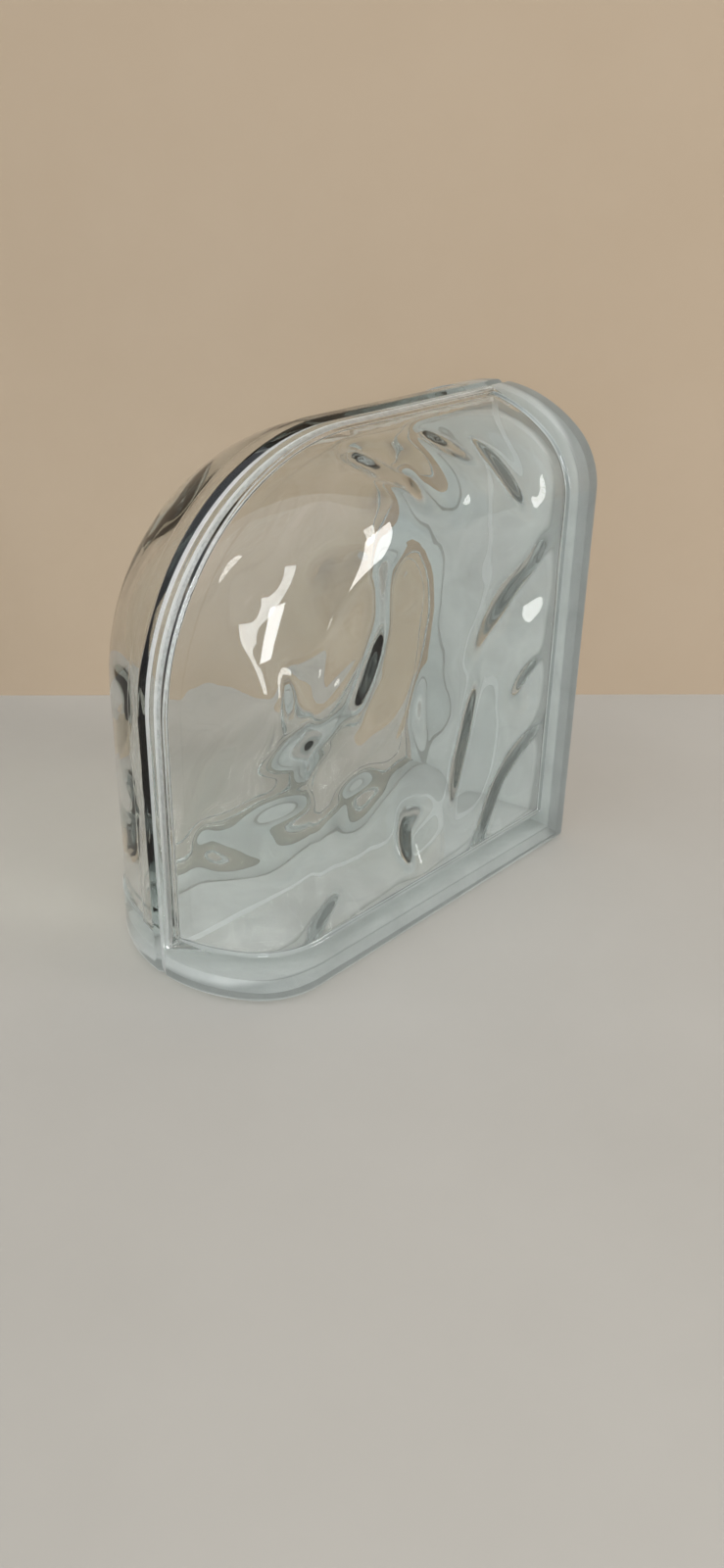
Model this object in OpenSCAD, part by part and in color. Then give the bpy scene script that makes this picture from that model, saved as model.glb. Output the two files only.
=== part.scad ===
// Hollow corner glass block, pressed as two halves that are fused edge to edge.
// X runs across the face to the right, Y from the front to the back and Z up.
// The left and top sides are finished and rounded, the bottom and right sides take mortar.

/* [Block] */
// width of the block across its face
block_w = 197; // [180:1:240]
// height of the block
block_h = 197; // [180:1:240]
// thickness from the front face to the back face
block_t = 98; // [90:1:110]
// radius of the outline where the two finished sides meet
corner_r = 91; // [75:1:110]

/* [Finished sides] */
// how far the rounding of a finished side reaches in from its seam
nose_depth = 37; // [34:1:44]
// width of the groove at the fused seam
seam_w = 6; // [4:0.5:8]
// depth of the groove at the fused seam
seam_d = 1.5; // [0.8:0.1:2]

/* [Frame] */
// width of the plain band along the mortar sides
band_w = 23; // [18:1:28]
// plain rim on each side of the seam
rim_w = 10; // [7:0.5:13]
// how far the wavy panel lies below the band and the rim
panel_d = 1; // [0.6:0.1:2]
// rounding of the outer edge of the band
edge_r = 5; // [3:0.5:7]

/* [Mortar sides] */
// land beside the mortar key, measured from the face
lip_w = 14; // [12:0.5:16]
// depth of the mortar key
key_d = 4; // [2:0.5:6]
// run of the sloping wall of the mortar key
key_run = 4; // [2:0.5:6]

/* [Hollow] */
// glass of the faces and of the finished sides beside the waves
wall_t = 7; // [6:0.5:9]
// glass behind the floor of a mortar key
key_wall_t = 8; // [6:0.5:10]
// how far the mortar walls lean in from the seam to the face
lean = 7; // [4:0.5:10]

/* [Waves] */
// height of a crest of full height
wave_h = 2.6; // [1:0.2:3.4]
// size of the crests across the face
wave_r = 20; // [16:1:24]
// how much wider the far flank of a crest is than its near flank
wave_lee = 1.8; // [1:0.1:2.5]

/* [Hidden] */
$fn = 96;
half_t = block_t / 2;
corner_x = -block_w / 2 + corner_r;
corner_z = block_h - corner_r;
// the rounding of a finished side is one wide arc between two shoulders, whose middles lie
// on the long side of a 3-4-5 triangle, so that the arcs run into each other and into the faces
crown_r = block_t - nose_depth;
shoulder_r = 1.5 * nose_depth - block_t / 4;
meet_run = 4;
meet_rise = 3;
meet_a = atan2(meet_rise, meet_run);
panel_wall_t = panel_d + wall_t;
seam_gap = key_d + key_wall_t;
crease = seam_gap + lean;

// crests and dips of the waves: the middle in hundredths of the width and of the height, half the
// length and half the width in wave sizes, the direction in degrees and the height in crest heights
swells = [
    [78, 64, 1.40, 0.50, 34, 1.5],
    [74, 15, 0.80, 0.40, 62, 1.2],
    [82, 25, 0.90, 0.40, 35, 1.2],
    [64, 34, 1.40, 0.40, 78, 1.2],
    [37, 61, 1.00, 0.45, 68, 1.2],
    [20, 49, 1.50, 0.50, 20, 1.2],
    [39, 76, 0.70, 0.40, 95, 0.8],
    [48, 21, 0.70, 0.35, 110, 1.7],
    [24, 13, 0.50, 0.35, 50, 1.2],
    [83, 44, 0.60, 0.35, 30, 1.0],
    [44, 95, 0.55, 0.28, 150, 2.2],
    [64, 95, 0.60, 0.28, 152, 2.2],
    [75, 89, 0.65, 0.28, 125, 2.0],
    [52, 90, 0.45, 0.40, 60, 1.2],
    [26, 78, 0.90, 0.45, 58, 1.0],
    [15, 79, 0.50, 0.35, 60, 1.0],
    [15, 72, 0.60, 0.35, 62, 1.0],
    [30, 88, 0.80, 0.60, 40, -0.6],
    [6, 32, 0.45, 0.35, 75, 1.6],
    [14, 37, 0.60, 0.40, 10, 0.9],
    [30, 37, 0.60, 0.40, -10, 0.8],
    [6, 62, 0.60, 0.30, 90, 0.8],
    [12, 61, 0.50, 0.25, 90, -0.7],
    [17, 63, 0.60, 0.30, 80, 0.8],
    [58, 12, 1.20, 0.80, 20, -0.4],
    [50, 50, 0.80, 0.35, 95, 0.6],
    [23, 46, 0.60, 0.35, 25, 0.6]
];

// steps of the hollow over a rounding, over the flat of a face and up a mortar wall
nose_n = 8;
flat_n = 38;
wall_n = 4;
grid_n = nose_n + flat_n;
left_x = -block_w / 2 + panel_wall_t;
right_x = block_w / 2 - crease;
low_z = crease;
high_z = block_h - panel_wall_t;

// share of the way across the hollow of each grid line, counted from a finished side
function share(k, span) = k <= nose_n
    ? (nose_depth - panel_wall_t) * (1 - cos(90 * k / nose_n)) / span
    : ((nose_depth - panel_wall_t)
        + (span - nose_depth + panel_wall_t) * (k - nose_n) / flat_n) / span;

// points of the outline of the hollow at the seam, from the bottom to the middle of the arc
// and on to the right
arc_in = corner_r - panel_wall_t;
arc_half = arc_in * 45 * PI / 180;
rise = corner_z - low_z;
run = right_x - corner_x;
function left_edge(v) = let (d = v * (rise + arc_half), a = 180 - (d - rise) / arc_in * 180 / PI)
    d < rise ? [left_x, low_z + d] : [corner_x + arc_in * cos(a), corner_z + arc_in * sin(a)];
function top_edge(u) = let (d = u * (run + arc_half), a = 135 - d / arc_in * 180 / PI)
    d < arc_half
    ? [corner_x + arc_in * cos(a), corner_z + arc_in * sin(a)]
    : [corner_x + d - arc_half, high_z];
function low_edge(u) = [left_x + u * (right_x - left_x), low_z];
function right_edge(v) = [right_x, low_z + v * (high_z - low_z)];

// a grid point of the hollow, seen from the front
function spot(u, v) = (1 - u) * left_edge(v) + u * right_edge(v) + (1 - v) * low_edge(u)
    + v * top_edge(u) - (1 - u) * (1 - v) * low_edge(0) - u * (1 - v) * low_edge(1)
    - (1 - u) * v * left_edge(1) - u * v * right_edge(1);

// distance of a point from the outline of the finished sides
function inset_of(p) = p[0] < corner_x && p[1] > corner_z
    ? corner_r - norm([p[0] - corner_x, p[1] - corner_z])
    : min(p[0] + block_w / 2, block_h - p[1]);

// half depth of the hollow without its waves
meet_s = crown_r - (crown_r - panel_wall_t) * cos(meet_a);
function plain_depth(s) = s <= panel_wall_t ? 0
    : s < meet_s ? sqrt(pow(crown_r - panel_wall_t, 2) - pow(crown_r - s, 2))
    : s < nose_depth ? half_t - shoulder_r
        + sqrt(pow(shoulder_r - panel_wall_t, 2) - pow(nose_depth - s, 2))
    : half_t - panel_wall_t;

// height of the waves, as a sum of long soft crests with a steep near flank
function swell(p, c) = let (
    x = p[0] - (c[0] / 100 - 0.5) * block_w,
    z = p[1] - c[1] / 100 * block_h,
    a = (x * cos(c[4]) + z * sin(c[4])) / (c[2] * wave_r),
    b = (z * cos(c[4]) - x * sin(c[4])) / (c[3] * wave_r),
    e = b < 0 ? b / wave_lee : b) c[5] * exp(-a * a - e * e);
function sum(list, k = 0) = k == len(list) ? 0 : list[k] + sum(list, k + 1);
function crest(p) = sum([for (c = swells) swell(p, c)]);

// both halves have the same waves, and the back half is turned over about the diagonal
function turned(p) = [block_h - block_w / 2 - p[1], block_h - block_w / 2 - p[0]];
function ease(t) = let (k = max(0, min(1, t))) k * k * (3 - 2 * k);
function depth(p, back) = let (d = plain_depth(inset_of(p)))
    d - wave_h * ease((d - rim_w) / 14) * crest(back ? turned(p) : p);

// the part of a plan that the wide arc holds, and the part that one shoulder holds
module crown_share() {
    translate([crown_r, 0]) polygon(block_t / 2 * [[0, 0], [-meet_run, meet_rise], [-meet_run, -meet_rise]]);
}

module shoulder_share(side) {
    translate([nose_depth, side * (half_t - shoulder_r)])
        polygon(block_t / 2 * [[0, 0], [0, side * meet_run], [-meet_run, side * meet_rise]]);
}

// a section of a finished side, with its seam at the origin and the block to the right
module nose(inset, length) {
    intersection() {
        translate([crown_r, 0]) circle(crown_r - inset);
        crown_share();
    }
    for (side = [-1, 1]) {
        intersection() {
            translate([nose_depth, side * (half_t - shoulder_r)]) circle(shoulder_r - inset);
            shoulder_share(side);
        }
    }
    translate([nose_depth, inset - half_t]) square([length - nose_depth, block_t - 2 * inset]);
}

// the same section with its panels set back from the rim beside the seam
module stepped_nose(length) {
    nose(panel_d, length);
    intersection() {
        nose(0, length);
        translate([-1, -rim_w]) square([length + 1, 2 * rim_w]);
    }
}

// a slice of the band with its rounded edge, with the face of the block at the origin
module edge_slice(inside) {
    translate([-inside, edge_r]) square([inside, band_w - edge_r]);
    translate([-inside, 0]) square([inside - edge_r, edge_r]);
    translate([-edge_r, edge_r]) intersection() {
        circle(edge_r);
        translate([0, -edge_r]) square(edge_r);
    }
}

module double_slice() {
    translate([half_t, 0]) edge_slice(half_t);
    mirror([1, 0]) translate([half_t, 0]) edge_slice(half_t);
}

// turns a section that stands across Y into a bar along X
module bar(length) {
    rotate([90, 0, 90]) linear_extrude(length) children();
}

// turns a slice of the edge round a finished end
module round_end() {
    intersection() {
        translate([crown_r, 0, 0]) rotate_extrude() translate([crown_r, 0]) children();
        translate([0, 0, -band_w]) linear_extrude(3 * band_w) crown_share();
    }
    for (side = [-1, 1]) {
        intersection() {
            translate([nose_depth, side * (half_t - shoulder_r), 0])
                rotate_extrude() translate([shoulder_r, 0]) children();
            translate([0, 0, -band_w]) linear_extrude(3 * band_w) shoulder_share(side);
        }
    }
}

// a band along a mortar side, with its finished end at the origin and the mortar side at the bottom
module band(length) {
    linear_extrude(band_w) nose(edge_r + 2, length);
    round_end() edge_slice(edge_r + 5);
    translate([nose_depth, 0, 0]) bar(length - nose_depth) double_slice();
}

// a slice of the mortar key, with the face of the block at the origin
module key_slice(inside) {
    polygon([
        [-inside, -1],
        [key_run / key_d - lip_w, -1],
        [-lip_w - key_run, key_d],
        [-inside, key_d]
    ]);
}

// the mortar key, placed as the band is
module key(length) {
    translate([0, 0, -1]) linear_extrude(key_d + 1) nose(lip_w + key_run + 1.5, length);
    round_end() key_slice(lip_w + key_run + 3);
    translate([nose_depth, 0, 0]) bar(length - nose_depth) {
        translate([half_t, 0]) key_slice(half_t);
        mirror([1, 0]) translate([half_t, 0]) key_slice(half_t);
    }
}

// places a piece made for the left side, or turns it over to the top side
module at_left() {
    translate([-block_w / 2, 0, 0]) children();
}

module at_top() {
    translate([block_w / 2, 0, block_h]) rotate([0, 90, 0]) mirror([0, 0, 1]) children();
}

module at_corner() {
    translate([corner_x, 0, corner_z]) rotate([90, 0, 0]) rotate([0, 0, 90])
        rotate_extrude(angle = 90) translate([corner_r, 0]) mirror([1, 0]) children();
}

// the groove left where the two halves are fused
module seam_slice() {
    flare = seam_w / 2 * (1 + 1 / seam_d);
    polygon([[-1, -flare], [seam_d, 0], [-1, flare]]);
}

module outside() {
    at_left() translate([0, 0, band_w])
        linear_extrude(corner_z - band_w) stepped_nose(block_w - band_w);
    at_corner() stepped_nose(corner_r);
    at_top() translate([0, 0, band_w])
        linear_extrude(block_w - corner_r - band_w) stepped_nose(corner_r);
    at_left() band(block_w - band_w);
    at_top() band(block_h - band_w);
    intersection() {
        at_left() translate([block_w - band_w, 0, 0]) bar(band_w) double_slice();
        at_top() translate([block_h - band_w, 0, 0]) bar(band_w) double_slice();
    }
}

module seam() {
    at_left() translate([0, 0, -1]) linear_extrude(corner_z + 1) seam_slice();
    at_corner() seam_slice();
    at_top() translate([0, 0, -1]) linear_extrude(block_w - corner_r + 1) seam_slice();
}

// the sealed hollow: a wavy front and back, rounded finished ends and leaning mortar walls
module hollow() {
    us = [for (k = [0 : grid_n]) share(k, right_x - left_x)];
    vs = [for (k = [0 : grid_n]) 1 - share(grid_n - k, high_z - low_z)];
    spots = [for (j = [0 : grid_n]) [for (i = [0 : grid_n]) spot(us[i], vs[j])]];
    points = [
        for (back = [false, true]) let (way = back ? 1 : -1) each concat(
            [for (j = [0 : grid_n]) for (i = [0 : grid_n]) let (p = spots[j][i],
                d = i == 0 || j == grid_n ? 0 : depth(p, back)) [p[0], way * d, p[1]]],
            [for (k = [1 : wall_n]) for (i = [0 : grid_n]) let (p = spots[0][i], f = k / wall_n,
                d = i == 0 ? 0 : depth(p, back) * (1 - f))
                [p[0] + us[i] * lean * f, way * d, p[1] - lean * f]],
            [for (k = [1 : wall_n]) for (j = [0 : grid_n]) let (p = spots[j][grid_n], f = k / wall_n,
                d = j == grid_n ? 0 : depth(p, back) * (1 - f))
                [p[0] + lean * f, way * d, p[1] - (1 - vs[j]) * lean * f]]
        )
    ];
    faces = [
        for (back = [0, 1]) each concat(
            [for (j = [0 : grid_n - 1]) for (i = [0 : grid_n - 1]) each patch(
                grid_at(i + 1, j, back), grid_at(i + 1, j + 1, back),
                grid_at(i, j + 1, back), grid_at(i, j, back), back)],
            [for (k = [0 : wall_n - 1]) for (i = [0 : grid_n - 1]) each patch(
                low_at(i, k + 1, back), low_at(i + 1, k + 1, back),
                low_at(i + 1, k, back), low_at(i, k, back), back)],
            [for (k = [0 : wall_n - 1]) for (j = [0 : grid_n - 1]) each patch(
                right_at(j, k, back), right_at(j, k + 1, back),
                right_at(j + 1, k + 1, back), right_at(j + 1, k, back), back)]
        )
    ];
    polyhedron(points, faces, convexity = 8);
}

// numbers of the points, with those on the seam shared by both halves
function half_at(back) = back * ((grid_n + 1) * (grid_n + 1) + 2 * (grid_n + 1) * wall_n);
function grid_at(i, j, back) = (i == 0 || j == grid_n ? 0 : half_at(back)) + j * (grid_n + 1) + i;
function low_at(i, k, back) = k == 0 ? grid_at(i, 0, back)
    : (i == 0 || k == wall_n ? 0 : half_at(back))
        + (grid_n + 1) * (grid_n + 1) + (k - 1) * (grid_n + 1) + i;
function right_at(j, k, back) = k == 0 ? grid_at(grid_n, j, back)
    : j == 0 ? low_at(grid_n, k, back)
    : (j == grid_n || k == wall_n ? 0 : half_at(back))
        + (grid_n + 1) * (grid_n + 1) + (wall_n + k - 1) * (grid_n + 1) + j;
function patch(a, b, c, d, back) = back == 1 ? [[a, b, c], [a, c, d]] : [[a, c, b], [a, d, c]];

// the fused block
module glass_block() {
    color([0.80, 0.86, 0.84]) difference() {
        outside();
        seam();
        at_left() key(block_w + 1);
        at_top() key(block_h + 1);
        hollow();
    }
}

glass_block();
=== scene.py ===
"""Looks of a hollow corner glass block with wavy faces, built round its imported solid."""

import math

import bmesh
import bpy
import numpy as np
from mathutils import Matrix, Vector, noise


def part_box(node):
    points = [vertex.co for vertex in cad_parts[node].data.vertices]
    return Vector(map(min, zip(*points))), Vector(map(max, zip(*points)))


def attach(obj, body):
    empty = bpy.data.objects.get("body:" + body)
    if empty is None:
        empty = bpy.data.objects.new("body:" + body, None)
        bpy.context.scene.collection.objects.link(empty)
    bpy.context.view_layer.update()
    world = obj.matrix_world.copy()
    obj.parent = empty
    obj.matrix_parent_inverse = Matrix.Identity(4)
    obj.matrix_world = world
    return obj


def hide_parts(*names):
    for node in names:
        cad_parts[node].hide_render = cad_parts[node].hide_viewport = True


bl_info = {
    "name": "Glass Block",
    "version": (1, 0, 0),
    "blender": (4, 5, 0),
    "location": "View3D > Sidebar > Glass Block",
    "description": "Makes a hollow corner glass block and a plain stage for it",
    "category": "Add Mesh",
}

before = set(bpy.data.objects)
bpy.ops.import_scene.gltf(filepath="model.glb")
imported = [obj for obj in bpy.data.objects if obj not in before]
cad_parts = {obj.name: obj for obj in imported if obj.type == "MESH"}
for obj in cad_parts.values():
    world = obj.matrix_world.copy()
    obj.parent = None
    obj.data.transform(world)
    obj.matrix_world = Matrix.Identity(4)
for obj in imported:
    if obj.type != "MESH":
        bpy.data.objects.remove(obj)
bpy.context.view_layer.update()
CAD_LOW, CAD_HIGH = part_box("glass_block")
CAD_SIZE = CAD_HIGH - CAD_LOW

# the arcs of a finished side meet on the long side of a 3-4-5 triangle
MEET_ANGLE = math.atan2(3.0, 4.0)

# crests and dips of the waves, as in the solid: the middle in hundredths of the width and of the
# height, half the length and half the width in wave sizes, the direction in degrees and the height
# in wave heights; the far flank of each is wider than its near flank by the wave lee
SWELLS = (
    (78, 64, 1.40, 0.50, 34, 1.5),
    (74, 15, 0.80, 0.40, 62, 1.2),
    (82, 25, 0.90, 0.40, 35, 1.2),
    (64, 34, 1.40, 0.40, 78, 1.2),
    (37, 61, 1.00, 0.45, 68, 1.2),
    (20, 49, 1.50, 0.50, 20, 1.2),
    (39, 76, 0.70, 0.40, 95, 0.8),
    (48, 21, 0.70, 0.35, 110, 1.7),
    (24, 13, 0.50, 0.35, 50, 1.2),
    (83, 44, 0.60, 0.35, 30, 1.0),
    (44, 95, 0.55, 0.28, 150, 2.2),
    (64, 95, 0.60, 0.28, 152, 2.2),
    (75, 89, 0.65, 0.28, 125, 2.0),
    (52, 90, 0.45, 0.40, 60, 1.2),
    (26, 78, 0.90, 0.45, 58, 1.0),
    (15, 79, 0.50, 0.35, 60, 1.0),
    (15, 72, 0.60, 0.35, 62, 1.0),
    (30, 88, 0.80, 0.60, 40, -0.6),
    (6, 32, 0.45, 0.35, 75, 1.6),
    (14, 37, 0.60, 0.40, 10, 0.9),
    (30, 37, 0.60, 0.40, -10, 0.8),
    (6, 62, 0.60, 0.30, 90, 0.8),
    (12, 61, 0.50, 0.25, 90, -0.7),
    (17, 63, 0.60, 0.30, 80, 0.8),
    (58, 12, 1.20, 0.80, 20, -0.4),
    (50, 50, 0.80, 0.35, 95, 0.6),
    (23, 46, 0.60, 0.35, 25, 0.6),
)

GLASS, COAT = 0, 1
GLASS_IOR, COAT_IOR = 1.52, 1.45
SHARP_ANGLE = math.radians(38)

# scale, detail, roughness and distortion of each kind of cloudiness
CLOUDS = {
    "streaks": (22.0, 4.0, 0.55, 0.8),
    "polish": (60.0, 5.0, 0.6, 0.0),
    "frost_and_glint_specks": (420.0, 3.0, 0.7, 0.0),
    "pressing": (45.0, 2.0, 0.4, 0.0),
    "patches": (38.0, 6.0, 0.62, 0.4),
    "chalk": (220.0, 4.0, 0.6, 0.0),
    "grain": (650.0, 5.0, 0.7, 0.0),
    "stage": (6.0, 5.0, 0.6, 0.0),
}
CLOUD_LOW, CLOUD_HIGH = 0.3, 0.7

# where a finish starts and where it is full, in metres along an axis of the block; the frosted run
# at the top and upper left is partly a painted highlight
FUSED_FRONT, FUSED_BACK = (-0.0031, -0.0024), (0.0011, 0.0007)
FROST_HIGHLIGHT_UP, FROST_HIGHLIGHT_ACROSS = (0.02, 0.13), (0.079, 0.072)
FUSED_ROUGHNESS, FAINT_FROST = 0.35, 0.88

# the ways out to the rounded ends and to the front, and the shares of them where the painted shade
# on the coat grows
COAT_SHADE_WAYS = (("X", -0.0615, -0.0985), ("Y", 0.0, -0.049), ("Z", 0.160, 0.197))
COAT_SHADE_STARTS, COAT_SHADE_FULL = 0.57, 0.64

FLOOR_PLACE, STAGE_SIZE = (0.0, 0.0, -0.0003), 6.0
BACKDROP_PLACE, BACKDROP_TURN = (0.1365, 0.1365, 1.499), math.radians(-45)
SKY_LOW, SKY_HIGH, SKY_STRENGTH = (0.34, 0.34, 0.34, 1.0), (0.92, 0.95, 1.0, 1.0), 1.3

# place, width and height, share of the lamp power and colour of each soft lamp
LAMPS = {
    "window_lamp": ((0.75, -1.4, 0.52), (0.36, 0.76), 0.65, (1.0, 0.98, 0.95)),
    "fill_lamp": ((-1.10, -1.05, 0.75), (0.36, 0.70), 0.70, (0.97, 0.99, 1.0)),
}
LAMP_AIM = (0.0, 0.0, 0.09)
BOUNCES = {
    "max_bounces": 18,
    "transmission_bounces": 18,
    "glossy_bounces": 8,
    "diffuse_bounces": 3,
}

# the turn is yaw, pitch and roll in degrees
CAMERA_PLACE, CAMERA_TURN = (-0.3421, -0.3214, 0.2991), (47.87, 28.26, 1.10)
CAMERA_LENS, CAMERA_SENSOR, CAMERA_NEAR = 29.57, 36.0, 0.01


def length(name, description, default):
    """A size of the block in metres."""
    return bpy.props.FloatProperty(
        name=name, description=description, default=default, min=0.0, precision=4,
        unit="LENGTH", subtype="DISTANCE",
    )


def number(name, description, default, low, high):
    """A plain number."""
    return bpy.props.FloatProperty(
        name=name, description=description, default=default, min=low, max=high, precision=3,
    )


def tint(name, description, default):
    """A colour."""
    return bpy.props.FloatVectorProperty(
        name=name, description=description, default=default, size=4, min=0.0, max=1.0,
        subtype="COLOR",
    )


class GlassBlockSizes(bpy.types.PropertyGroup):
    """Sizes of the block"""

    width: length("Width", "Width of the block across its face", round(CAD_SIZE.x, 3))
    height: length("Height", "Height of the block", round(CAD_SIZE.z, 3))
    thickness: length("Thickness", "From the front face to the back face", round(CAD_SIZE.y, 3))
    corner_radius: length(
        "Corner Radius", "Radius of the outline where the finished sides meet", 0.091,
    )
    nose_depth: length("Nose Depth", "How far the rounding of a finished side reaches in", 0.037)
    seam_width: length("Seam Width", "Width of the groove at the fused seam", 0.006)
    seam_depth: length("Seam Depth", "Depth of the groove at the fused seam", 0.0015)
    seam_offset: length("Seam Offset", "How far behind the middle the groove is deepest", 0.001)
    band_width: length("Band Width", "Width of the plain band along the mortar sides", 0.023)
    rim_width: length("Rim Width", "Plain rim on each side of the seam", 0.010)
    panel_depth: length("Panel Depth", "How far the panel lies below the band", 0.001)
    edge_radius: length("Edge Radius", "Rounding of the outer edge of the band", 0.005)
    lip_width: length("Lip Width", "Land beside the mortar key", 0.014)
    key_depth: length("Key Depth", "Depth of the mortar key", 0.004)
    key_run: length("Key Run", "Run of the sloping wall of the mortar key", 0.004)
    bead_width: length("Bead Width", "Half the width of the bead inside the fused seam", 0.005)
    bead_height: length("Bead Height", "How far the bead stands into the hollow", 0.002)
    wall: length("Wall", "Glass of the faces beside the waves", 0.007)
    key_wall: length("Key Wall", "Glass behind the floor of a mortar key", 0.008)
    lean: length("Lean", "How far the mortar walls lean in from the seam to the face", 0.007)
    wave_height: length("Wave Height", "Height of a crest of the waves", 0.0026)
    wave_size: length("Wave Size", "Size of the crests across the face", 0.020)
    wave_lee: number(
        "Wave Lee", "How much wider the far flank of a crest is than its near flank", 1.8, 1.0, 4.0,
    )
    ripple_height: length(
        "Ripple Height", "Height of the faint unevenness of the pressed glass", 0.0004,
    )
    ripple_size: length("Ripple Size", "Size of the faint unevenness of the pressed glass", 0.017)


class GlassBlockLook(bpy.types.PropertyGroup):
    """Colours and finish of the block and its stage"""

    glass_clear: tint("Clear Glass", "Colour of the glass at its clearest", (1.0, 1.0, 1.0, 1.0))
    glass_streak: tint(
        "Streaked Glass", "Colour of the faint streaks in the glass", (0.97, 0.985, 0.98, 1.0),
    )
    glass_body: tint("Glass Body", "Colour that thick glass takes on", (0.778, 0.80, 0.793, 1.0))
    glass_density: number(
        "Glass Density", "How strongly thick glass is coloured, per metre", 40.0, 0.0, 200.0,
    )
    glass_pass: tint(
        "Passed Light", "Colour of the lamp light that passes a surface of the glass",
        (0.9, 0.92, 0.91, 1.0),
    )
    coat_pale: tint(
        "Pale Coat", "Colour of the coat on the mortar sides", (0.795, 0.797, 0.785, 1.0),
    )
    coat_dark: tint(
        "Dark Coat", "Colour of the thin places in the coat", (0.625, 0.627, 0.617, 1.0),
    )
    # painted shade: the share of the coat's colour that is kept on the lands along the front and
    # round the ends
    coat_painted_shade: tint(
        "Coat Painted Shade", "Share of the coat's colour that is left where it is worn",
        (0.55, 0.56, 0.555, 1.0),
    )
    floor_colour: tint("Floor", "Colour of the floor", (0.455, 0.438, 0.400, 1.0))
    wall_colour: tint("Backdrop", "Colour of the backdrop", (0.43, 0.338, 0.243, 1.0))
    lamp_power: number(
        "Lamp Power", "Power in watts that the soft lamps take shares of", 17.0, 0.0, 1000.0,
    )


def smooth_step(low, high, value):
    """0 below low, 1 above high and a soft rise between."""
    k = np.clip((value - low) / (high - low), 0.0, 1.0)
    return k * k * (3.0 - 2.0 * k)


def merged(*runs, nearest=1e-5):
    """One rising list of stations from several runs, with near doubles left out."""
    kept = []
    for value in sorted(float(v) for run in runs for v in run):
        if not kept or value - kept[-1] > nearest:
            kept.append(value)
    return kept


def sheet(bm, columns, rows, place, material):
    """A grid of faces whose vertices are moved to place(column, row)."""
    made = bmesh.ops.create_grid(bm, x_segments=columns, y_segments=rows, size=0.5)["verts"]
    for v in made:
        v.co = place(round((v.co.x + 0.5) * columns), round((v.co.y + 0.5) * rows))
    for face in {f for v in made for f in v.link_faces}:
        face.material_index = material
        face.smooth = True


def arcs(s):
    """Radii of the wide arc at the seam and of the shoulder arc beside the face."""
    return s.thickness - s.nose_depth, 1.5 * s.nose_depth - s.thickness / 4


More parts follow.
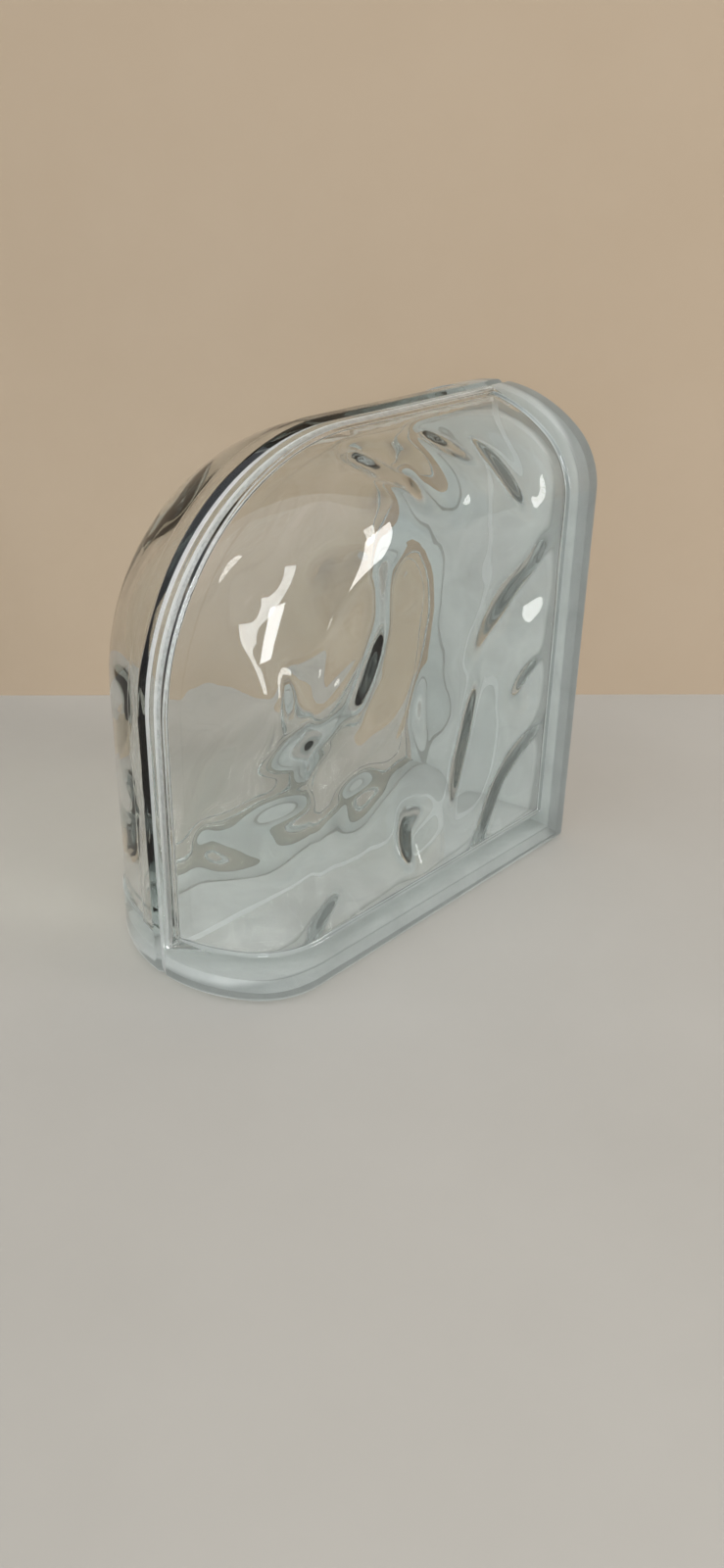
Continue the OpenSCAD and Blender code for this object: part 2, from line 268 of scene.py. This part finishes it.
class Outside:
    """Places on the outer surface of the block, from the same sizes as its solid."""

    STEP = 0.0012  # run of the step between the panel and its border
    BORDER = (-1.0, -0.5, -0.25, 0.0, 0.25, 0.5, 1.0)  # stations across it, in its runs
    PAST_RIM = 1.0
    # stations on the plain parts, and the distance of those that hold a crease
    RIM, BAND, LAND = (0.005, 0.007), (0.009, 0.013, 0.017, 0.020), 0.009
    BY_SEAM, BY_EDGE, BY_LAND, BY_LIP, BY_KEY = 0.0006, 0.0008, 0.001, 0.0005, 0.0006
    NOSE_START, NOSE_END, NOSE_STEP, PANEL_START = 0.003, 0.001, 0.002, 0.004
    SEAM_COUNT, FLAT_COUNT, PANEL_COUNT = 7, 10, 9
    BEND = range(0, 91, 10)  # degrees round the edge of the band
    SLOPE = (0.15, 0.5, 0.85, 1.0)  # shares of the run of the key's wall
    CORNER_STEPS, FLOOR_ROWS = 60, 12

    def __init__(self, s):
        self.s = s
        self.half = s.thickness / 2
        self.crown, self.shoulder = arcs(s)
        self.crown_len = self.crown * MEET_ANGLE
        self.nose_len = self.crown_len + self.shoulder * (math.pi / 2 - MEET_ANGLE)
        self.rim_len = self.crown * math.asin(s.rim_width / self.crown)
        flat_end = self.nose_len + s.corner_radius - s.nose_depth
        half = merged(
            np.linspace(0.0, s.seam_width / 2, self.SEAM_COUNT),
            (s.seam_width / 2 + self.BY_SEAM, *self.RIM),
            [self.rim_len + self.STEP * b for b in self.BORDER],
            np.arange(
                self.rim_len + self.NOSE_START, self.nose_len - self.NOSE_END, self.NOSE_STEP,
            ),
            np.linspace(self.nose_len, flat_end, self.FLAT_COUNT),
        )
        self.stations = [-t for t in reversed(half[1:])] + half
        self.runs = [
            merged(
                [s.edge_radius * (1 - math.cos(math.radians(a))) for a in self.BEND],
                (s.edge_radius + self.BY_EDGE, *self.BAND),
                [s.band_width + self.STEP * b for b in self.BORDER],
                np.linspace(s.band_width + self.PANEL_START, end, self.PANEL_COUNT),
            )
            for end in (s.height - s.corner_radius, s.width - s.corner_radius)
        ]

    def section(self, t):
        """Inset and depth of the plain section at t along it from the seam, and its outward way."""
        way = -1.0 if t < 0 else 1.0
        t = abs(t)
        if t <= self.crown_len:
            a = t / self.crown
            place = (self.crown * (1 - math.cos(a)), self.crown * math.sin(a))
        elif t <= self.nose_len:
            a = MEET_ANGLE + (t - self.crown_len) / self.shoulder
            place = (
                self.s.nose_depth - self.shoulder * math.cos(a),
                self.half - self.shoulder * (1 - math.sin(a)),
            )
        else:
            a = math.pi / 2
            place = (self.s.nose_depth + t - self.nose_len, self.half)
        return place[0], way * place[1], -math.cos(a), way * math.sin(a)

    def bend_sink(self, d):
        """How far the rounded edge has sunk at d from the mortar side."""
        r = self.s.edge_radius
        return 0.0 if d >= r else r - math.sqrt(max(0.0, r * r - (r - d) ** 2))

    def groove(self, t):
        """Depth of the fused groove, whose front flank is the flatter one."""
        half, deepest = self.s.seam_width / 2, self.s.seam_offset
        share = (half - t) / (half - deepest) if t > deepest else (half + t) / (half + deepest)
        return self.s.seam_depth * max(0.0, share)

    def panel(self, t, *edges):
        """How far the panel lies below its border at t, and at d from each mortar side."""
        step = self.STEP / 2
        deep = self.s.panel_depth * smooth_step(self.rim_len - step, self.rim_len + step, abs(t))
        for d in edges:
            deep *= smooth_step(self.s.band_width - step, self.s.band_width + step, d)
        return float(deep)

    def on_section(self, t, sink):
        """Inset and depth at t along the section, sunk below the plain section."""
        inset, y, way_in, way_y = self.section(t)
        return inset - way_in * sink, y - way_y * sink

    def left(self, inset, y, d):
        """Place on the left side at d from the bottom."""
        return Vector((-self.s.width / 2 + inset, y, d))

    def top(self, inset, y, d):
        """Place on the top at d from the right side."""
        return Vector((self.s.width / 2 - d, y, self.s.height - inset))

    def finished_side(self, bm, side, run):
        """The straight part of a rounded side, and the face beside it."""

        def place(i, j):
            t, d = self.stations[i], run[j]
            sink = self.panel(t, d) + self.bend_sink(d) + self.groove(t)
            return side(*self.on_section(t, sink), d)

        sheet(bm, len(self.stations) - 1, len(run) - 1, place, GLASS)

    def corner(self, bm):
        """The rounded corner between the finished sides, and the face inside it."""
        middle_x = -self.s.width / 2 + self.s.corner_radius
        middle_z = self.s.height - self.s.corner_radius

        def place(i, j):
            t = self.stations[i]
            inset, y = self.on_section(t, self.panel(t) + self.groove(t))
            a = math.pi - math.pi / 2 * j / self.CORNER_STEPS
            r = self.s.corner_radius - inset
            return Vector((middle_x + r * math.cos(a), y, middle_z + r * math.sin(a)))

        sheet(bm, len(self.stations) - 1, self.CORNER_STEPS, place, GLASS)

    def face(self, bm, way):
        """The flat of a face beside both mortar sides."""
        up, across = self.runs

        def place(i, j):
            right, low = across[i], up[j]
            edge = max(self.bend_sink(right), self.bend_sink(low))
            sink = self.panel(self.PAST_RIM, right, low) + edge
            return Vector((self.s.width / 2 - right, way * (self.half - sink), low))

        sheet(bm, len(across) - 1, len(up) - 1, place, GLASS)

    def mortar_side(self, bm, side, length_of_side, run):
        """Land, sloping wall and floor of a mortar side, which is seen as the bottom of side."""
        s = self.s
        flat = [-(self.nose_len + length_of_side - s.nose_depth - d) for d in run[:-1]]
        path = merged(flat, self.stations, [-t for t in flat])
        land = [s.edge_radius, s.edge_radius + self.BY_LAND, self.LAND]
        lip = [s.lip_width - self.BY_LIP, s.lip_width]
        slope = [s.lip_width + s.key_run * k for k in self.SLOPE]
        insets = land + lip + slope + [s.lip_width + s.key_run + self.BY_KEY]

        def depth_at(inset):
            return s.key_depth * min(1.0, max(0.0, (inset - s.lip_width) / s.key_run))

        def spot(t, inset):
            deep = depth_at(inset)
            extra = self.groove(t) if inset == s.edge_radius else 0.0
            along, y = self.on_section(t, inset + extra)
            return side(min(along, length_of_side - deep), y, deep)

        sheet(bm, len(path) - 1, len(insets) - 1, lambda i, j: spot(path[i], insets[j]), COAT)
        near = [t for t in path if t <= 0]

        def floor(i, j):
            far = spot(-near[i], insets[-1])
            return spot(near[i], insets[-1]).lerp(far, j / self.FLOOR_ROWS)

        sheet(bm, len(near) - 1, self.FLOOR_ROWS, floor, COAT)

    def build(self, bm):
        up, across = self.runs
        self.finished_side(bm, self.left, up)
        self.corner(bm)
        self.finished_side(bm, self.top, across)
        self.face(bm, -1.0)
        self.face(bm, 1.0)
        self.mortar_side(bm, self.left, self.s.width, across)
        self.mortar_side(bm, self.top, self.s.height, up)


class Hollow:
    """Places on the wavy hollow, by the same rule as in its solid but on a finer grid."""

    NOSE, FLAT, WALL, BEAD = 24, 128, 30, 10  # steps on each part
    BEAD_REACH, LEAST_STEP = 1.3, 2e-4
    CROWDING = 1.6  # how much closer the steps of a wall lie by the face
    WAVE_RISE = 0.014  # run over which the waves rise from the rim
    LAYERS = (0.0, 1.7)  # of the ripples, front and back

    def __init__(self, s):
        self.s = s
        self.half = s.thickness / 2
        self.skin = s.panel_depth + s.wall
        self.crease = s.key_depth + s.key_wall + s.lean
        self.corner_x = -s.width / 2 + s.corner_radius
        self.corner_z = s.height - s.corner_radius
        self.left_x = -s.width / 2 + self.skin
        self.right_x = s.width / 2 - self.crease
        self.low_z = self.crease
        self.high_z = s.height - self.skin

    def shares(self, span):
        """Stations from a finished side to the mortar wall, as shares of the span."""
        s = self.s
        nose = s.nose_depth - self.skin
        arch = arcs(s)[0] - self.skin
        bead = np.linspace(0.0, self.BEAD_REACH * s.bead_width, self.BEAD + 1)
        bead = arch - np.sqrt(arch ** 2 - bead ** 2)
        rounding = nose * (1 - np.cos(np.pi / 2 * np.arange(self.NOSE + 1) / self.NOSE))
        flat = nose + (span - nose) * np.arange(1, self.FLAT + 1) / self.FLAT
        rounding = rounding[rounding > bead[-1] + self.LEAST_STEP]
        return np.concatenate([bead, rounding, flat]) / span

    def spots(self):
        """Grid of places on the face, drawn between the four edges of the hollow."""
        arc = self.s.corner_radius - self.skin
        quarter = arc * math.pi / 4
        rise, run = self.corner_z - self.low_z, self.right_x - self.corner_x
        u = self.shares(self.right_x - self.left_x)
        v = 1 - self.shares(self.high_z - self.low_z)[::-1]
        d = v * (rise + quarter)
        a = np.pi - np.maximum(0, d - rise) / arc
        left = np.where(
            (d < rise)[:, None],
            np.stack([np.full_like(d, self.left_x), self.low_z + d], 1),
            np.stack([self.corner_x + arc * np.cos(a), self.corner_z + arc * np.sin(a)], 1),
        )
        d = u * (run + quarter)
        a = 0.75 * np.pi - np.minimum(d, quarter) / arc
        top = np.where(
            (d < quarter)[:, None],
            np.stack([self.corner_x + arc * np.cos(a), self.corner_z + arc * np.sin(a)], 1),
            np.stack([self.corner_x + d - quarter, np.full_like(d, self.high_z)], 1),
        )
        across = self.left_x + u * (self.right_x - self.left_x)
        up = self.low_z + v * (self.high_z - self.low_z)
        low = np.stack([across, np.full_like(u, self.low_z)], 1)
        right = np.stack([np.full_like(v, self.right_x), up], 1)
        U, V = u[None, :, None], v[:, None, None]
        grid = (1 - U) * left[:, None] + U * right[:, None] + (1 - V) * low[None] + V * top[None]
        grid -= (1 - U) * (1 - V) * low[0] + U * (1 - V) * low[-1]
        grid -= (1 - U) * V * left[-1] + U * V * right[-1]
        return u, v, grid

    def inset(self, p):
        """How far a place lies in from the outline of the finished sides."""
        x, z = p[..., 0], p[..., 1]
        corner = self.s.corner_radius - np.hypot(x - self.corner_x, z - self.corner_z)
        plain = np.minimum(x + self.s.width / 2, self.s.height - z)
        return np.where((x < self.corner_x) & (z > self.corner_z), corner, plain)

    def inward(self, p):
        """Way in from the outline of the finished sides."""
        x, z = p[..., 0], p[..., 1]
        away = np.stack([self.corner_x - x, self.corner_z - z], -1)
        away /= np.maximum(1e-9, np.linalg.norm(away, axis=-1, keepdims=True))
        left = (x + self.s.width / 2 < self.s.height - z)[..., None]
        plain = np.where(left, np.array([1.0, 0.0]), np.array([0.0, -1.0]))
        corner = ((x < self.corner_x) & (z > self.corner_z))[..., None]
        return np.where(corner, away, plain)

    def plain_depth(self, inset):
        """Half depth of the hollow without its waves."""
        s = self.s
        crown, shoulder = arcs(s)
        meet = crown - (crown - self.skin) * math.cos(MEET_ANGLE)
        wide = np.sqrt(np.maximum(0, (crown - self.skin) ** 2 - (crown - inset) ** 2))
        near = np.sqrt(np.maximum(0, (shoulder - self.skin) ** 2 - (s.nose_depth - inset) ** 2))
        deep = np.where(inset < meet, wide, self.half - shoulder + near)
        deep = np.where(inset < s.nose_depth, deep, self.half - self.skin)
        return np.where(inset <= self.skin, 0.0, deep)

    def crest(self, p):
        """Height of the waves in wave heights."""
        s = self.s
        total = np.zeros(p.shape[:-1])
        for cx, cz, along, across, angle, height in SWELLS:
            x = p[..., 0] - (cx / 100 - 0.5) * s.width
            z = p[..., 1] - cz / 100 * s.height
            c, k = math.cos(math.radians(angle)), math.sin(math.radians(angle))
            a = (x * c + z * k) / (along * s.wave_size)
            b = (z * c - x * k) / (across * s.wave_size)
            b = np.where(b < 0, b / s.wave_lee, b)
            total += height * np.exp(-a * a - b * b)
        return total

    def ripples(self, p, back):
        """Faint unevenness of the pressed glass, from -1 to 1."""
        size, layer = self.s.ripple_size, self.LAYERS[back]
        rows = [[noise.noise(Vector((x / size, z / size, layer))) for x, z in row] for row in p]
        return np.array(rows)

    def depth(self, p, back):
        """Half depth of the hollow; the back half is turned over about the diagonal."""
        s = self.s
        deep = self.plain_depth(self.inset(p))
        shift = s.height - s.width / 2
        at = np.stack([shift - p[..., 1], shift - p[..., 0]], -1) if back else p
        relief = s.wave_height * self.crest(at) + s.ripple_height * self.ripples(p, back)
        return deep - smooth_step(s.rim_width, s.rim_width + self.WAVE_RISE, deep) * relief

    def build(self, bm):
        u, v, plain = self.spots()
        n = len(u) - 1
        share = np.linspace(0, 1, self.WALL + 1) ** self.CROWDING
        lean = self.s.lean
        for back in (False, True):
            way = 1.0 if back else -1.0
            deep = self.depth(plain, back)
            deep[:, 0] = 0.0
            deep[n, :] = 0.0
            bead = np.clip(1 - (deep / self.s.bead_width) ** 2, 0.0, 1.0) ** 2
            grid = plain + self.inward(plain) * (self.s.bead_height * bead)[..., None]
            sheet(
                bm, n, n,
                lambda i, j: Vector((grid[j, i, 0], way * deep[j, i], grid[j, i, 1])), GLASS,
            )
            sheet(
                bm, n, self.WALL,
                lambda i, k: Vector((
                    grid[0, i, 0] + u[i] * lean * share[k],
                    way * deep[0, i] * (1 - share[k]),
                    grid[0, i, 1] - lean * share[k],
                )), GLASS,
            )
            sheet(
                bm, n, self.WALL,
                lambda j, k: Vector((
                    grid[j, n, 0] + lean * share[k],
                    way * deep[j, n] * (1 - share[k]),
                    grid[j, n, 1] - (1 - v[j]) * lean * share[k],
                )), GLASS,
            )


def round_creases(bm, angle=math.radians(25), rings=2, passes=5, factor=0.5):
    """Rounds the inner corners between the faces and the mortar walls."""
    near = {v for e in bm.edges if e.calc_face_angle(0.0) > angle for v in e.verts}
    for _ in range(rings):
        near |= {e.other_vert(v) for v in near for e in v.link_edges}
    for _ in range(passes):
        bmesh.ops.smooth_vert(
            bm, verts=list(near), factor=factor,
            use_axis_x=True, use_axis_y=True, use_axis_z=True,
        )


def close_shell(bm, inward, merge=2e-6, least=1e-7):
    """Joins the sheets of a shell and turns its faces outwards, or into the hollow."""
    bmesh.ops.remove_doubles(bm, verts=bm.verts, dist=merge)
    bmesh.ops.dissolve_degenerate(bm, edges=bm.edges, dist=least)
    bmesh.ops.recalc_face_normals(bm, faces=bm.faces)
    if inward:
        round_creases(bm)
    if (bm.calc_volume(signed=True) < 0) != inward:
        bmesh.ops.reverse_faces(bm, faces=bm.faces)
    open_edges = sum(1 for e in bm.edges if len(e.link_faces) != 2)
    if open_edges:
        raise RuntimeError(f"a shell of the block has {open_edges} open edges")


class NodeTree:
    """Small help to lay out a material's nodes."""

    def __init__(self, name):
        self.material = bpy.data.materials.new(name)
        self.material.use_nodes = True
        self.nodes = self.material.node_tree.nodes
        self.links = self.material.node_tree.links
        self.shader = self.nodes["Principled BSDF"]
        self.out = self.nodes["Material Output"]
        self.place = self.add("ShaderNodeTexCoord").outputs["Object"]
        self.axes = self.add("ShaderNodeSeparateXYZ").outputs
        self.link(self.place, self.axes[0].node.inputs["Vector"])

    def add(self, kind, **inputs):
        """A new node with plain values on its inputs."""
        node = self.nodes.new(kind)
        for key, value in inputs.items():
            node.inputs[key.replace("_", " ")].default_value = value
        return node

    def link(self, a, b):
        self.links.new(a, b)

    def clouds(self, kind):
        """A kind of cloudiness, fixed to the piece."""
        values = zip(("Scale", "Detail", "Roughness", "Distortion"), CLOUDS[kind])
        node = self.add("ShaderNodeTexNoise", **dict(values))
        self.link(self.place, node.inputs["Vector"])
        return node.outputs["Fac"]

    def ramp(self, value, low, high, dark, pale):
        """A colour from dark to pale while a value goes from low to high."""
        node = self.nodes.new("ShaderNodeValToRGB")
        first, last = node.color_ramp.elements
        first.position, first.color = low, dark
        last.position, last.color = high, pale
        self.link(value, node.inputs["Fac"])
        return node.outputs["Color"]

    def spread(self, value, low, high):
        """A number from low to high with the clouds."""
        node = self.add("ShaderNodeMapRange", From_Min=CLOUD_LOW, From_Max=CLOUD_HIGH)
        node.inputs["To Min"].default_value = low
        node.inputs["To Max"].default_value = high
        self.link(value, node.inputs["Value"])
        return node.outputs["Result"]

    def edge(self, value, start, end, way="SMOOTHSTEP"):
        """0 before start and 1 past end of a value, or of the place along an axis of the block."""
        node = self.add("ShaderNodeMapRange", From_Min=start, From_Max=end)
        node.interpolation_type = way
        self.link(self.axes[value] if isinstance(value, str) else value, node.inputs["Value"])
        return node.outputs["Result"]

    def both(self, first, second):
        """A mask that is 1 where two masks are."""
        node = self.nodes.new("ShaderNodeMath")
        node.operation = "MULTIPLY"
        self.link(first, node.inputs[0])
        self.link(second, node.inputs[1])
        return node.outputs["Value"]

    def fade(self, mask, off, on):
        """A number that goes from off to on with a mask; either may be a socket."""
        node = self.nodes.new("ShaderNodeMix")
        self.link(mask, node.inputs["Factor"])
        for end, value in (("A", off), ("B", on)):
            if isinstance(value, float):
                node.inputs[end].default_value = value
            else:
                self.link(value, node.inputs[end])
        return node.outputs["Result"]

    def bump(self, height, strength, distance):
        """Fine relief of the shader's surface."""
        node = self.add("ShaderNodeBump", Strength=strength, Distance=distance)
        self.link(height, node.inputs["Height"])
        self.link(node.outputs["Normal"], self.shader.inputs["Normal"])

    def let_pass(self, mask, **inputs):
        """Lets light straight through where a mask is 1."""
        through = self.add("ShaderNodeBsdfTransparent", **inputs)
        mix = self.nodes.new("ShaderNodeMixShader")
        self.link(mask, mix.inputs["Fac"])
        self.link(self.shader.outputs["BSDF"], mix.inputs[1])
        self.link(through.outputs["BSDF"], mix.inputs[2])
        self.link(mix.outputs["Shader"], self.out.inputs["Surface"])

    def set(self, **inputs):
        """Sets plain values of the shader."""
        for key, value in inputs.items():
            self.shader.inputs[key.replace("_", " ")].default_value = value


def fused_band(tree):
    """1 on the front flank of the fused groove, which is left rough, and 0 elsewhere."""
    return tree.both(tree.edge("Y", *FUSED_FRONT), tree.edge("Y", *FUSED_BACK))


def frost_and_highlight_run(tree):
    """1 where the fused flank is frosted most, which is partly a painted highlight: the top and the
    upper part of the left side.
    """
    return tree.both(tree.edge("Z", *FROST_HIGHLIGHT_UP), tree.edge("X", *FROST_HIGHLIGHT_ACROSS))


def clear_glass(look):
    """Clear glass that is faintly coloured where it is thick, with a frosted flank at the seam
    whose pale run and specks are partly a painted highlight and painted glints.
    """
    tree = NodeTree("clear_glass")
    tree.set(Transmission_Weight=1.0, IOR=GLASS_IOR)
    streaks = tree.ramp(
        tree.clouds("streaks"), low=0.35, high=0.65, dark=look.glass_streak, pale=look.glass_clear,
    )
    tree.link(streaks, tree.shader.inputs["Base Color"])
    fused = fused_band(tree)
    smooth = tree.spread(tree.clouds("polish"), low=0.0, high=0.02)
    tree.link(tree.fade(fused, smooth, FUSED_ROUGHNESS), tree.shader.inputs["Roughness"])
    # partly painted glints: pale specks where the flank lets less light through, standing in for
    # glints on the fused seam
    frost_and_glint_specks = tree.spread(tree.clouds("frost_and_glint_specks"), low=0.55, high=0.15)
    clear = tree.fade(frost_and_highlight_run(tree), FAINT_FROST, frost_and_glint_specks)
    tree.link(tree.fade(fused, 1.0, clear), tree.shader.inputs["Transmission Weight"])
    tree.bump(tree.clouds("pressing"), strength=0.06, distance=0.002)
    body = tree.add(
        "ShaderNodeVolumeAbsorption", Color=look.glass_body, Density=look.glass_density,
    )
    tree.link(body.outputs["Volume"], tree.out.inputs["Volume"])
    to_lamp = tree.add("ShaderNodeLightPath").outputs["Is Shadow Ray"]
    tree.let_pass(to_lamp, Color=look.glass_pass)
    return tree.material


def coat_shade_mask(tree):
    """1 on the lands along the front and round the ends of the mortar sides, where shade is painted
    into the coat.
    """
    near = tree.nodes.new("ShaderNodeCombineXYZ")
    for axis, start, end in COAT_SHADE_WAYS:
        tree.link(tree.edge(axis, start, end, "LINEAR"), near.inputs[axis])
    out = tree.nodes.new("ShaderNodeVectorMath")
    out.operation = "LENGTH"
    tree.link(near.outputs["Vector"], out.inputs[0])
    return tree.edge(out.outputs["Value"], COAT_SHADE_STARTS, COAT_SHADE_FULL)


def frosted_coat(look):
    """The clouded grey-white coat of the mortar sides, with painted shade darkening its lands."""
    tree = NodeTree("frosted_coat")
    tree.set(IOR=COAT_IOR)
    patches = tree.ramp(
        tree.clouds("patches"), low=0.30, high=0.68, dark=look.coat_dark, pale=look.coat_pale,
    )
    # painted shade: the coat's colour is darkened on the lands along the front and round the ends
    land = tree.nodes.new("ShaderNodeMix")
    land.data_type, land.blend_type = "RGBA", "MULTIPLY"
    tree.link(coat_shade_mask(tree), land.inputs["Factor"])
    tree.link(patches, land.inputs["A"])
    land.inputs["B"].default_value = look.coat_painted_shade
    tree.link(land.outputs["Result"], tree.shader.inputs["Base Color"])
    rough = tree.spread(tree.clouds("chalk"), low=0.65, high=0.95)
    tree.link(rough, tree.shader.inputs["Roughness"])
    tree.bump(tree.clouds("grain"), strength=0.35, distance=0.0006)
    return tree.material


def plain_finish(name, colour, shift, rough):
    """A plain stage colour with a faint cloudiness."""
    tree = NodeTree(name)
    other = [max(0.0, c - shift) for c in colour[:3]] + [1.0]
    shade = tree.ramp(tree.clouds("stage"), CLOUD_LOW, CLOUD_HIGH, dark=other, pale=colour)
    tree.link(shade, tree.shader.inputs["Base Color"])
    tree.set(Roughness=rough)
    return tree


class MESH_OT_add_glass_block(bpy.types.Operator):
    """Makes the fused glass block with its hollow and its coated mortar sides"""

    bl_idname = "mesh.add_glass_block"
    bl_label = "Add Glass Block"
    bl_options = {"REGISTER", "UNDO"}

    def execute(self, context):
        sizes, look = context.scene.glass_block_sizes, context.scene.glass_block_look
        mesh = bpy.data.meshes.new("glass_block_visual")
        joined = bmesh.new()
        for shell, inward in ((Outside(sizes), False), (Hollow(sizes), True)):
            bm = bmesh.new()
            shell.build(bm)
            close_shell(bm, inward)
            bm.to_mesh(mesh)
            bm.free()
            joined.from_mesh(mesh)
        joined.to_mesh(mesh)
        joined.free()
        mesh.set_sharp_from_angle(angle=SHARP_ANGLE)
        mesh.materials.append(clear_glass(look))
        mesh.materials.append(frosted_coat(look))
        piece = bpy.data.objects.new("glass_block_visual", mesh)
        context.scene.collection.objects.link(piece)
        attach(piece, "root")
        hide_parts("glass_block")
        return {"FINISHED"}


def plane(context, name, tree, matrix):
    """A large flat piece of the stage."""
    bm = bmesh.new()
    bmesh.ops.create_grid(bm, x_segments=2, y_segments=2, size=STAGE_SIZE / 2, matrix=matrix)
    mesh = bpy.data.meshes.new(name)
    bm.to_mesh(mesh)
    bm.free()
    mesh.materials.append(tree.material)
    made = bpy.data.objects.new(name, mesh)
    context.scene.collection.objects.link(made)


def softbox(context, name, place, size, power, colour):
    """A soft lamp that is turned to the block."""
    data = bpy.data.lights.new(name, "AREA")
    data.shape = "RECTANGLE"
    data.size, data.size_y = size
    data.energy = power
    data.color = colour
    lamp = bpy.data.objects.new(name, data)
    lamp.location = place
    way = Vector(LAMP_AIM) - Vector(place)
    lamp.rotation_euler = way.to_track_quat("-Z", "Y").to_euler()
    context.scene.collection.objects.link(lamp)


class SCENE_OT_set_glass_stage(bpy.types.Operator):
    """Makes the floor, the backdrop, the soft lamps and the camera"""

    bl_idname = "scene.set_glass_stage"
    bl_label = "Set Stage"
    bl_options = {"REGISTER", "UNDO"}

    def execute(self, context):
        scene, look = context.scene, context.scene.glass_block_look
        self.surfaces(context, look)
        self.sky(scene)
        self.lamps(context, look)
        self.camera(context)
        scene.view_settings.view_transform = "Standard"
        for name, count in BOUNCES.items():
            setattr(scene.cycles, name, count)
        return {"FINISHED"}

    def surfaces(self, context, look):
        """The floor, and a backdrop that is open from behind."""
        floor = plain_finish("stage_floor", look.floor_colour, shift=0.03, rough=0.75)
        plane(context, "stage_floor", floor, Matrix.Translation(FLOOR_PLACE))
        wall = plain_finish("stage_backdrop", look.wall_colour, shift=0.02, rough=0.9)
        wall.let_pass(wall.add("ShaderNodeNewGeometry").outputs["Backfacing"])
        upright = Matrix.Rotation(math.pi / 2, 4, "X")
        turn = Matrix.Rotation(BACKDROP_TURN, 4, "Z") @ upright
        plane(context, "stage_backdrop", wall, Matrix.Translation(BACKDROP_PLACE) @ turn)

    def sky(self, scene):
        """Even light all round, brighter from above."""
        world = bpy.data.worlds.new("stage_sky")
        world.use_nodes = True
        nodes, links = world.node_tree.nodes, world.node_tree.links
        way = nodes.new("ShaderNodeTexCoord").outputs["Generated"]
        split = nodes.new("ShaderNodeSeparateXYZ")
        links.new(way, split.inputs["Vector"])
        ramp = nodes.new("ShaderNodeValToRGB")
        low, high = ramp.color_ramp.elements
        low.position, low.color = 0.0, SKY_LOW
        high.position, high.color = 1.0, SKY_HIGH
        links.new(split.outputs["Z"], ramp.inputs["Fac"])
        links.new(ramp.outputs["Color"], nodes["Background"].inputs["Color"])
        nodes["Background"].inputs["Strength"].default_value = SKY_STRENGTH
        scene.world = world

    def lamps(self, context, look):
        for name, (place, size, share, colour) in LAMPS.items():
            softbox(context, name, place, size, share * look.lamp_power, colour)

    def camera(self, context):
        """The camera at the place and turn that fit the outline."""
        yaw, pitch, roll = (math.radians(a) for a in CAMERA_TURN)
        ahead = Vector((
            math.sin(yaw) * math.cos(pitch), math.cos(yaw) * math.cos(pitch), -math.sin(pitch),
        ))
        right = Vector((math.cos(yaw), -math.sin(yaw), 0.0))
        up = right.cross(ahead)
        side = math.cos(roll) * right + math.sin(roll) * up
        above = math.cos(roll) * up - math.sin(roll) * right
        turn = Matrix((side, above, -ahead)).transposed().to_4x4()
        data = bpy.data.cameras.new("camera")
        data.lens = CAMERA_LENS
        data.sensor_width = CAMERA_SENSOR
        data.clip_start = CAMERA_NEAR
        camera = bpy.data.objects.new("camera", data)
        camera.matrix_world = Matrix.Translation(CAMERA_PLACE) @ turn
        context.scene.collection.objects.link(camera)
        context.scene.camera = camera


class VIEW3D_PT_glass_block(bpy.types.Panel):
    """Sizes, finish and making of the glass block"""

    bl_label = "Glass Block"
    bl_space_type = "VIEW_3D"
    bl_region_type = "UI"
    bl_category = "Glass Block"

    def draw(self, context):
        layout = self.layout
        layout.operator(MESH_OT_add_glass_block.bl_idname)
        layout.operator(SCENE_OT_set_glass_stage.bl_idname)
        for group in (context.scene.glass_block_sizes, context.scene.glass_block_look):
            box = layout.box()
            for name in group.__annotations__:
                box.prop(group, name)


CLASSES = (
    GlassBlockSizes,
    GlassBlockLook,
    MESH_OT_add_glass_block,
    SCENE_OT_set_glass_stage,
    VIEW3D_PT_glass_block,
)


def register():
    for cls in CLASSES:
        bpy.utils.register_class(cls)
    bpy.types.Scene.glass_block_sizes = bpy.props.PointerProperty(type=GlassBlockSizes)
    bpy.types.Scene.glass_block_look = bpy.props.PointerProperty(type=GlassBlockLook)


def unregister():
    del bpy.types.Scene.glass_block_look
    del bpy.types.Scene.glass_block_sizes
    for cls in reversed(CLASSES):
        bpy.utils.unregister_class(cls)


def main():
    register()
    bpy.ops.mesh.add_glass_block()
    bpy.ops.scene.set_glass_stage()


if __name__ == "__main__":
    main()
